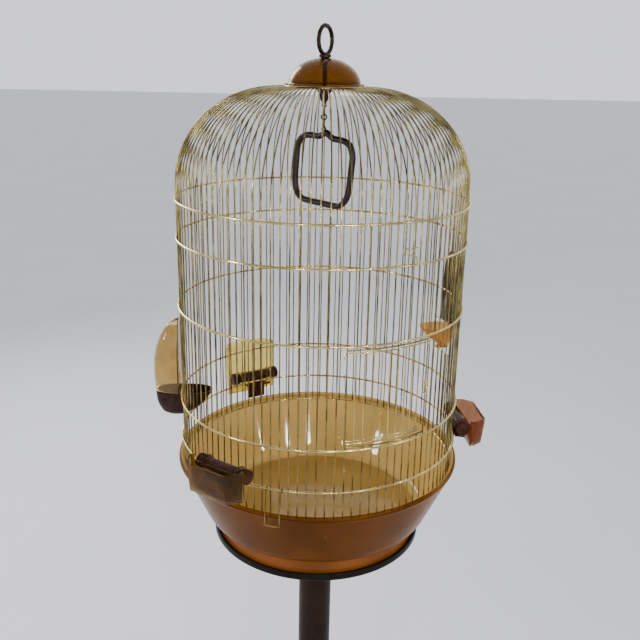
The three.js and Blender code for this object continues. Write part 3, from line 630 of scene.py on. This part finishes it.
# ---------- crown ----------
def make_crown():
    low, high = level("crown_plate", 0), level("crown_plate", 1)
    plate = turned([(3.4 * MM, low), (49 * MM, low), (49.7 * MM, low + 0.9 * MM), (49 * MM, high),
                    (3.4 * MM, high)], 0.3 * MM)
    ribs = [torus(r * MM, 0.6 * MM, low, 96, 8) for r in (16, 30, 42)]
    piece("crown_disc", joined(plate, *ribs), IRON, "cage", ["crown_plate"])

    dome_low = level("dome_cap", 0)
    rise = 34.2 * MM

    def arc(radius, height, first, last, count):
        angles = [rad(first + (last - first) * i / count) for i in range(count + 1)]
        return [(radius * math.cos(a), dome_low + height * math.sin(a)) for a in angles]

    profile = [(45.4 * MM, dome_low), (52.4 * MM, dome_low), (53.2 * MM, dome_low + 0.5 * MM),
               (53.2 * MM, dome_low + 1.3 * MM), (52.4 * MM, dome_low + 1.8 * MM),
               (48.2 * MM, dome_low + 2 * MM), *arc(47.6 * MM, rise, 6, 82.4, 28),
               *arc(45.4 * MM, rise - 2.2 * MM, 81.9, 3, 28)]
    piece("dome_shell", lathe(profile, 144), DOME, "cage", ["dome_cap"])

    low, high = level("stem", 0), level("stem", 1)
    thread = [(0, low)]
    turns = round((high - low) / (1.2 * MM))
    for i in range(turns):
        z = low + (high - low) * i / turns
        thread += [(2.9 * MM, z), (3.1 * MM, z + 0.6 * MM)]
    thread += [(2.9 * MM, high), (0, high)]
    piece("stem_rod", lathe(thread, 32), IRON, "cage", ["stem"])

    nut_low, top = level("ring_nut", 0), level("ring_nut", 1)
    nut = turned([
        (0, nut_low + 3 * MM), (3.5 * MM, nut_low + 3 * MM), (3.5 * MM, nut_low), (5.9 * MM, nut_low),
        (5.9 * MM, nut_low + 3.6 * MM), (8 * MM, nut_low + 3.6 * MM), (8 * MM, nut_low + 6.6 * MM),
        (5 * MM, nut_low + 8.4 * MM), (3 * MM, nut_low + 9.4 * MM), (0, nut_low + 9.6 * MM)], 0.7 * MM, 48)
    ring_r, wire = 17.8 * MM, 2.8 * MM
    middle = top - ring_r - wire
    rough = [wire * (1 + 0.05 * math.sin(i * 2.1) + 0.04 * math.sin(i * 0.9)) for i in range(96)]
    loop = tube(circle_path(-ring_r, middle, 96), rough, 14, closed=True)
    loop = moved(loop, Matrix.Rotation(rad(61), 4, "Z"))
    piece("ring_and_nut", joined(nut, loop), IRON, "hanging_ring", ["ring_nut"])

    nut_high, eye = level("swing_nut", 1), level("swing_nut", 0) + 3.5 * MM
    body = turned([
        (0, eye + 2.4 * MM), (2.4 * MM, eye + 2.4 * MM), (5.6 * MM, eye + 7 * MM),
        (7 * MM, nut_high - 8 * MM), (9.6 * MM, nut_high - 5 * MM), (9.6 * MM, nut_high),
        (3.4 * MM, nut_high), (3.4 * MM, nut_high - 13 * MM), (0, nut_high - 13.3 * MM)], 1 * MM, 40)
    loop = tube(circle_path(-2.7 * MM, eye, 24), 0.8 * MM, 8, closed=True)
    piece("swing_nut_and_eye", joined(body, loop), IRON, "cage", ["swing_nut"])


# ---------- swing ----------
def make_swing():
    for node, wire, body in (("swing_upper_link", 0.65 * MM, "chain_upper"),
                             ("swing_lower_link", 0.75 * MM, "chain_lower")):
        low, high = level(node, 0) + wire, level(node, 1) - wire
        half = 3.2 * MM - wire
        outline = rounded([(-half, low), (half, low), (half, high), (-half, high)], half, 6)
        link = tube([(0, p[0], p[1]) for p in outline], wire, 10, closed=True)
        piece(f"{node}_wire", link, IRON, body, [node], WIRE_SMOOTH)
    loop = tube(circle_path(3.5 * MM, level("swing_ring"), 32), 0.95 * MM, 10, closed=True)
    piece("swing_ring_wire", loop, IRON, "chain_ring", ["swing_ring"], WIRE_SMOOTH)

    lug_z = level("swing_frame", 1) - 3.9 * MM
    top = lug_z - 4.8 * MM
    low = level("swing_frame", 0) + 5.6 * MM
    half = 44 * MM
    kink = 6 * MM
    right = [(0, top), (5 * MM, top - 0.4 * kink), (12 * MM, top - kink), (26 * MM, top - kink - 0.5 * MM),
             (36 * MM, top - kink - 3.5 * MM), (41 * MM, top - kink - 10 * MM), (half, top - kink - 20 * MM),
             (half, top - kink - 36 * MM), (half, (top + low) / 2 - 8 * MM), (half - 1 * MM, low + 22 * MM),
             (half - 4.5 * MM, low + 10 * MM), (half - 13 * MM, low + 1.8 * MM), (half - 24 * MM, low)]
    left = [(-x, z) for x, z in reversed(right[1:])]
    outline = smooth_path([(x, 0, z) for x, z in [*right, (0, low), *left]], 6, closed=True)
    middle = (top + low) / 2
    thickness = [4.4 * MM * (1 + 0.012 * math.sin(i * 0.7)) for i in range(len(outline))]
    bar = tube(outline, thickness, 18, closed=True)
    facing = Matrix.Rotation(rad(-32), 4, "Z")
    tilt = (facing @ Matrix.Translation((0, 0, middle))
            @ Matrix.Rotation(rad(5), 4, "Y") @ Matrix.Translation((0, 0, -middle)))
    lug = moved(tube(circle_path(3 * MM, lug_z, 24), 0.9 * MM, 8, closed=True), facing)
    shank = turned([(0, top - 5 * MM), (3.2 * MM, top - 4.4 * MM), (2.4 * MM, top - 1 * MM),
                    (1.5 * MM, lug_z - 2.4 * MM), (0, lug_z - 2.2 * MM)], 0.6 * MM, 24)
    piece("swing_loop", joined(moved(bar, tilt), lug, shank), SWING, "swing",
          ["swing_frame"], WIRE_SMOOTH)


# ---------- door ----------
def make_door():
    shapes = [tube(wall_run(i, DOOR_LOW, DOOR_HIGH, DOOR_R), WIRE_R, WIRE_SIDES)
              for i in range(DOOR_FIRST, DOOR_LAST + 1)]
    left, right = DOOR_FIRST - 1.25, DOOR_LAST + 1.3
    lower_right = right - 0.85
    shapes += [
        arc_wire(DOOR_BAR_R, DOOR_LOW, left, lower_right, DOOR_BAR_WIRE_R),
        arc_wire(DOOR_BAR_R, DOOR_LOW + 4 * MM, left, lower_right),
        arc_wire(DOOR_BAR_R, DOOR_HIGH, left, right, DOOR_BAR_WIRE_R),
    ]
    for end, z, sense in ((left, DOOR_LOW, 1), (left, DOOR_HIGH, -1), (right, DOOR_HIGH, -1)):
        a = wire_azimuth(end)
        ear = smooth_path([on_wall(DOOR_BAR_R, a, z),
                           on_wall(DOOR_R + 2 * MM, a - 0.05, z + 0.4 * MM * sense),
                           on_wall(CAGE_R + 0.2 * MM, a, z + 1 * MM * sense),
                           on_wall(CAGE_R - 1 * MM, a, z + 6 * MM * sense)], 5)
        shapes.append(tube(ear, WIRE_R, 8))
    piece("door_grille", joined(*shapes), HOOP_BRASS_PAINTED_HIGHLIGHT, "door", ["door_panel"], WIRE_SMOOTH)

    z = HOOPS[1]
    r = 203.4 * MM
    catch = smooth_path([on_wall(r, azimuth, z + above * MM) for azimuth, above in (
        (34.1, 2), (33.9, 9), (32.4, 12.6), (30.4, 13), (28.6, 14), (28.2, 17.4), (28.8, 20.8), (31.2, 21.6),
        (34.2, 21.6))], 6)
    piece("door_catch", tube(catch, WIRE_R, 8), HOOP_BRASS_PAINTED_HIGHLIGHT, "cage", ["door_hook"], WIRE_SMOOTH)

    coil_low, coil_high = level("door_guide_coil", 0), level("door_guide_coil", 1)
    centre = on_wall(CAGE_R, wire_azimuth(DOOR_LAST + 1), 0)
    path = []
    turns, steps = 12, 12
    for step in range(turns * steps + 1):
        angle = 2 * math.pi * step / steps
        z = coil_low + 0.5 * MM + (coil_high - coil_low - 1 * MM) * step / (turns * steps)
        path.append(centre + Vector((2.05 * MM * math.cos(angle), 2.05 * MM * math.sin(angle), z)))
    piece("guide_coil", tube(path, 0.5 * MM, 6), HOOP_BRASS_PAINTED_HIGHLIGHT, "cage", ["door_guide_coil"], WIRE_SMOOTH)


# ---------- base clips ----------
def make_clips():
    azimuth = wire_azimuth(-4.5)
    hoop = HOOPS[4]
    bead = BOWL_RIM - 4.4 * MM
    r = 208.4 * MM

    def coil(side):
        y = side * CLIP_HALF
        turns = [(i, rad(18 * i)) for i in range(1, 20)]
        return [(HOOP_R + CLIP_LOOP_R * math.cos(turn), y + 0.06 * MM * i * side,
                 hoop + CLIP_LOOP_R * math.sin(turn)) for i, turn in turns]

    def leg(side):
        y = side * CLIP_HALF
        return [(HOOP_R + CLIP_LOOP_R, y, hoop), (205.6 * MM, y, hoop - 18 * MM), (r, y, bead + 3 * MM),
                (r, y, bead - 6 * MM), (210 * MM, y - side * 1 * MM, bead - 10.4 * MM)]

    for name, turn in (("front", azimuth), ("back", azimuth + 180)):
        paths = [coil(-1), coil(1), smooth_path([*leg(-1), *reversed(leg(1))], 6)]
        shapes = [tube(path, CLIP_WIRE_R, 8) for path in paths]
        piece(f"clip_{name}_wire", moved(joined(*shapes), bay(turn)), WIRE_BRASS_PAINTED_SHADE, f"clip_{name}",
              [f"base_clip_{name}"], WIRE_SMOOTH)


# ---------- seed cups ----------
def cup_ring(inset, share, low, high, bar_z):
    """Plan of a cup at a share of its height. Its corners are cut off, its front leans in towards the floor
    and its back wall stops just above the bar."""
    z = low + (high - low) * share
    lean = 4 * MM * min(1, max(0, (high - 8 * MM - z) / (high - 8 * MM - low)))
    back, front = CUP_BACK + inset, CUP_FRONT - inset - lean
    wide, narrow, cut = CUP_HALF - inset, CUP_FRONT_HALF - inset, CUP_CORNER
    corners = [(back, -wide), (front - cut, -wide), (front, -narrow), (front, narrow), (front - cut, wide),
               (back, wide)]
    step = CUP_HALF - 4 * MM
    ring = [(p.x, p.y, z) for p in rounded(corners, 1.4 * MM, 3)]
    back_high = bar_z + 5 * MM
    back_z = low + (back_high - low) * share
    ring += [(back, step + 0.5 * MM, z)]
    ring += [(back, y, min(z, back_z)) for y in (step, step / 3, -step / 3, -step)]
    ring += [(back, -step - 0.5 * MM, z)]
    return ring


def make_cup(name, azimuth, material):
    node = f"seed_cup_{name}"
    low, high = level(node, 0), level(node, 1)
    bar_z = level(f"cup_bar_{name}", 0) + BAR_RISE
    tall = high - low
    edge = 0.5 * MM / tall
    # how far in from the outside, in millimetres, and at which share of the height
    steps = [(1.4, 0), (0.4, edge), (0, 3 * edge)]
    steps += [(0, t) for t in (0.3, 0.6, 0.85, 1 - edge)]
    steps += [(0.4, 1), (1.5, 1)]
    steps += [(1.9, t) for t in (1 - edge, 0.85, 0.6, 0.3)]
    steps += [(1.9, 6 * edge), (2.6, 4 * edge)]
    shell = loft([cup_ring(inset * MM, t, low, high, bar_z) for inset, t in steps])
    hooks = []
    for side in (-1, 1):
        y = side * 27 * MM
        arc = [(BAR_OUT + 10.2 * MM * math.cos(rad(a)), y, bar_z + 10.2 * MM * math.sin(rad(a)))
               for a in range(10, 178, 12)]
        path = [(CUP_BACK + 0.6 * MM, y, bar_z - 2 * MM), *arc]
        hooks.append(tube(path, 1.3 * MM, 10))
    piece(f"cup_{name}", moved(joined(shell, *hooks), bay(azimuth)), material, f"cup_{name}",
          [node], 40)


def make_cup_bar(name, azimuth):
    """A ribbed bar with a grip at each end, a tongue that hooks over the lowest hoop, and a small ledge."""
    bar_z = level(f"cup_bar_{name}", 0) + BAR_RISE
    tongue_low = bar_z - BAR_RISE
    ribs = [(0, -41.5 * MM), (7 * MM, -41.5 * MM)]
    for i in range(4):
        y = -41 + i * 3.1
        ribs += [(9.6 * MM, y * MM), (10 * MM, (y + 0.9) * MM), (9.6 * MM, (y + 1.7) * MM),
                 (7.6 * MM, (y + 2.1) * MM), (7.6 * MM, (y + 2.9) * MM)]
    bar = [*ribs, (7.8 * MM, -27 * MM), (8.2 * MM, -24 * MM), (8.2 * MM, 24 * MM), (7.8 * MM, 27 * MM),
           *[(r, -y) for r, y in reversed(ribs)]]
    along = Matrix.Translation((BAR_OUT, 0, bar_z)) @ Matrix.Rotation(rad(-90), 4, "X")
    rod = moved(lathe(bar, 40), along)
    outline = rounded([(202.6 * MM, tongue_low), (205.6 * MM, tongue_low), (205.8 * MM, bar_z - 6 * MM),
                       (212 * MM, bar_z + 1 * MM), (204 * MM, bar_z + 5 * MM)], 1 * MM, 3)
    sides = [(-15.2, 0.5), (-14.7, 0), (-8, 0), (8, 0), (14.7, 0), (15.2, 0.5)]
    centre = Vector((204.6 * MM, bar_z - 18 * MM))
    rings = []
    for y, inset in sides:
        rings.append([(centre.x + (p.x - centre.x) * (1 - 0.1 * inset), y * MM,
                       centre.y + (p.y - centre.y) * (1 - 0.02 * inset)) for p in outline])
    tongue = loft(rings)
    section = ((204, -17), (219, -19), (219, -17), (204, -14.5))
    ledge = loft([[(x * MM, y * MM, bar_z + z * MM) for x, z in section] for y in (-28, 14)])
    piece(f"bracket_{name}", moved(joined(rod, tongue, ledge), bay(azimuth)), RUSSET, "cage",
          [f"cup_bar_{name}"], 35)
    r = 7.7 * MM
    collar = [(BAR_OUT + r * math.cos(rad(10 * i)), 35.2 * MM, bar_z + r * math.sin(rad(10 * i)))
              for i in range(36)]
    piece(f"bracket_ring_{name}", moved(tube(collar, 0.7 * MM, 8, closed=True), bay(azimuth)), HOOP_BRASS_PAINTED_HIGHLIGHT, "cage")


# ---------- feeders ----------
def boat_ring(outer, inner, half, z):
    middle, reach = (outer + inner) / 2, (outer - inner) / 2
    ring = []
    for i in range(48):
        c, s = math.cos(2 * math.pi * i / 48), math.sin(2 * math.pi * i / 48)
        ring.append((middle + reach * math.copysign(abs(c) ** 0.8, c),
                     half * math.copysign(abs(s) ** 0.78, s), z))
    return ring


def boat(rim, outer, inner, depth):
    """Open boat-shaped cup: blunt outside the wall, with a rising tip inside it."""
    front = curve_through([(0, 0), (0.5, 2 * MM), (0.85, 9 * MM), (0.96, 17 * MM), (1, 25 * MM)])
    back = curve_through([(0, 0), (0.2, 4 * MM), (0.42, 10 * MM), (0.75, 24 * MM), (0.94, 36 * MM),
                          (1, 42 * MM)])
    side = curve_through([(0, 0), (0.5, 0.6 * MM), (0.82, 3 * MM), (0.95, 7.5 * MM), (1, 13 * MM)])

    half, wall, lip = 20 * MM, PLASTIC_WALL, 0.3 * MM

    def ring(share, inset):
        lift = inset * share
        return boat_ring(outer - inset - front(share), inner + inset + back(share),
                         half - inset - side(share), rim - depth * share + lift)

    shares = [1, 0.985, 0.96, 0.92, 0.85, 0.75, 0.62, 0.48, 0.32, 0.16, 0.03]
    rings = [ring(s, 0) for s in shares]
    rings += [boat_ring(outer - lip, inner + lip, half - lip, rim),
              boat_ring(outer - wall + lip, inner + wall - lip, half - wall + lip, rim)]
    rings += [ring(s, wall) for s in reversed(shares)]
    return loft(rings)


def make_left_feeder():
    azimuth = wire_azimuth((LEFT_GAP[0] + LEFT_GAP[1]) / 2)
    rim = level("left_feeder_cup", 1)
    cup = boat(rim, outer=240.5 * MM, inner=157 * MM, depth=38 * MM)
    piece("left_cup", moved(cup, bay(azimuth)), BROWN, "left_feeder",
          ["left_feeder_cup"], MOULDED_SMOOTH)

    low = level("left_feeder_hood", 0)
    # how far the hood stands out from the wall, and half its width, at heights above its lower edge
    reach = curve_through([(0, 37.4), (34, 38.8), (60, 35.6), (80, 29), (95, 20.6), (104, 12.5),
                           (109.3, 4.5)])
    half = curve_through([(0, 20), (34, 20.5), (66, 17.3), (84, 13.2), (96, 9.4), (104, 6), (109.3, 2.2)])

    def ring(height, inset):
        back = 203.8 * MM + inset
        deep = max(0.4 * MM, reach(height) * MM - 2 * inset)
        wide = max(0.4 * MM, half(height) * MM - inset)
        points = []
        for i in range(33):
            angle = rad(-90 + 180 * i / 32)
            points.append((back + deep * max(0, math.cos(angle)) ** 0.72, wide * math.sin(angle),
                           low + height * MM))
        return points

    heights = [0, 12, 24, 36, 48, 58, 66, 74, 81, 87, 92, 96.5, 100, 103, 105.5, 107.5, 109]
    wall = PLASTIC_WALL
    rings = [ring(h, 0) for h in reversed(heights)]
    rings += [ring(0.001, 0.4 * MM), ring(0.001, wall - 0.4 * MM)]
    rings += [ring(h, wall) for h in heights[:-4]]
    hood = loft(rings)
    piece("left_hood_shell", moved(hood, bay(azimuth)), SMOKE, "left_hood",
          ["left_feeder_hood"], MOULDED_SMOOTH)

    for side in (-1, 1):
        edge = [(204.2 * MM, side * (half(h) * MM + 0.2 * MM), low + h * MM + 0.4 * MM) for h in heights]
        sign = "right" if side > 0 else "left"
        piece(f"hood_edge_{sign}", moved(tube(edge, 0.55 * MM, 8), bay(azimuth)), BROWN, "left_hood",
              smooth_angle=MOULDED_SMOOTH)


def make_right_feeder():
    azimuth = wire_azimuth((RIGHT_GAP[0] + RIGHT_GAP[1]) / 2)
    rim = level("right_feeder_cup", 1)
    cup = boat(rim, outer=210 * MM, inner=158 * MM, depth=34 * MM)
    piece("right_cup", moved(cup, bay(azimuth)), PALE_AMBER, "right_feeder",
          ["right_feeder_cup"], MOULDED_SMOOTH)
    low, high = level("right_feeder_plate", 0), level("right_feeder_plate", 1)
    tall = high - low
    right_side = [(31 * MM, low), (31 * MM, low + 0.45 * tall), (27 * MM, low + 0.8 * tall),
                  (20 * MM, low + 0.96 * tall), (10 * MM, high)]
    corners = [*right_side, *[(-y, z) for y, z in reversed(right_side)]]
    outline = rounded([corners[-1], *corners[:-1]], 5 * MM, 5)
    centre = Vector((0, (low + high) / 2))

    def ring(x, inset):
        return [(x * MM, centre.x + (p.x - centre.x) * (1 - inset), centre.y + (p.y - centre.y) * (1 - inset))
                for p in outline]

    plate = loft([ring(203.6, 0.02), ring(204.2, 0), ring(206.9, 0), ring(207.4, 0.012), ring(207.6, 0.04)])
    piece("right_cover", moved(plate, bay(azimuth)), BROWN, "right_feeder",
          ["right_feeder_plate"])


# ---------- camera, lights and floor ----------
def make_camera():
    """About 1.1 m from the post, a little above the top hoop, looking down with a slight roll."""
    pitch, roll = rad(17.855), rad(1.116)
    forward = Vector((0, math.cos(pitch), -math.sin(pitch)))
    side = Vector((1, 0, 0))
    up = side.cross(forward)
    right = math.cos(roll) * side + math.sin(roll) * up
    above = -math.sin(roll) * side + math.cos(roll) * up
    data = bpy.data.cameras.new("camera")
    data.sensor_width = 36
    data.lens = 44.84
    distance, above_hoop = 1.0907, 0.1744
    camera = bpy.data.objects.new("camera", data)
    turn = Matrix((right, above, -forward)).transposed().to_4x4()
    camera.matrix_world = Matrix.Translation((0, -distance, TOP_HOOP + above_hoop)) @ turn
    bpy.context.scene.collection.objects.link(camera)
    bpy.context.scene.camera = camera


def area_light(name, place, target, size, watts, color):
    data = bpy.data.lights.new(name, "AREA")
    data.shape = "DISK"
    data.size = size
    data.energy = watts
    data.color = color
    light = bpy.data.objects.new(name, data)
    light.location = place
    light.rotation_mode = "QUATERNION"
    light.rotation_quaternion = (Vector(target) - Vector(place)).to_track_quat("-Z", "Y")
    bpy.context.scene.collection.objects.link(light)


def make_room():
    n = Nodes("pale_floor")
    n.link(n.ramp(n.noise(1.4, 4), (0.3, (0.76, 0.77, 0.80)), (0.75, (0.81, 0.82, 0.85))), "Base Color")
    n.link(n.ramp(n.noise(9, 4), (0.3, 0.55), (0.75, 0.7)), "Roughness")
    mesh = bpy.data.meshes.new("floor")
    mesh.from_pydata([(-40, -40, 0), (40, -40, 0), (40, 40, 0), (-40, 40, 0)], [], [(0, 1, 2, 3)])
    mesh.materials.append(n.material)
    floor = bpy.data.objects.new("floor", mesh)
    bpy.context.scene.collection.objects.link(floor)

    world = bpy.data.worlds.new("pale_room")
    world.use_nodes = True
    tree = world.node_tree
    split = tree.nodes.new("ShaderNodeSeparateXYZ")
    tree.links.new(tree.nodes.new("ShaderNodeTexCoord").outputs["Generated"], split.inputs["Vector"])
    ramp = tree.nodes.new("ShaderNodeValToRGB")
    ramp.color_ramp.elements[0].position, ramp.color_ramp.elements[0].color = 0.2, (0.22, 0.225, 0.24, 1)
    ramp.color_ramp.elements[1].position, ramp.color_ramp.elements[1].color = 0.72, (0.74, 0.75, 0.80, 1)
    half = tree.nodes.new("ShaderNodeMapRange")
    half.inputs["From Min"].default_value = -1
    tree.links.new(split.outputs["Y"], half.inputs["Value"])
    tree.links.new(half.outputs["Result"], ramp.inputs["Fac"])
    background = tree.nodes["Background"]
    tree.links.new(ramp.outputs["Color"], background.inputs["Color"])
    background.inputs["Strength"].default_value = 1.6
    bpy.context.scene.world = world

    middle = (0, 0, 1.25)
    white = (1.0, 0.98, 0.93)
    area_light("key", (-2.7, -1.25, 1.75), middle, 0.4, 34, (1.0, 0.97, 0.90))
    for index, x in enumerate((-0.4, 0.6)):
        area_light(f"low_lamp_{index}", (x, -1.6, 1.12), middle, 0.14, 5, white)
    for index, place in enumerate(((0.28, -1.5, 1.55), (0.94, -1.4, 1.55), (1.95, -1.0, 1.55))):
        area_light(f"high_lamp_{index}", place, middle, 0.12, 5, white)
    area_light("back", (-1.6, 2.4, 2.4), middle, 1.4, 60, (1.0, 0.99, 0.97))


make_camera()
make_room()
make_stand()
make_bowl()
make_wires()
make_hoops()
make_crown()
make_swing()
make_door()
make_clips()
for cup_name, cup_azimuth, cup_material in (
        ("front_left", -34.5, OLIVE), ("back_left", -148.3, HONEY), ("right", 96, COPPER)):
    make_cup_bar(cup_name, cup_azimuth)
    make_cup(cup_name, cup_azimuth, cup_material)
make_left_feeder()
make_right_feeder()
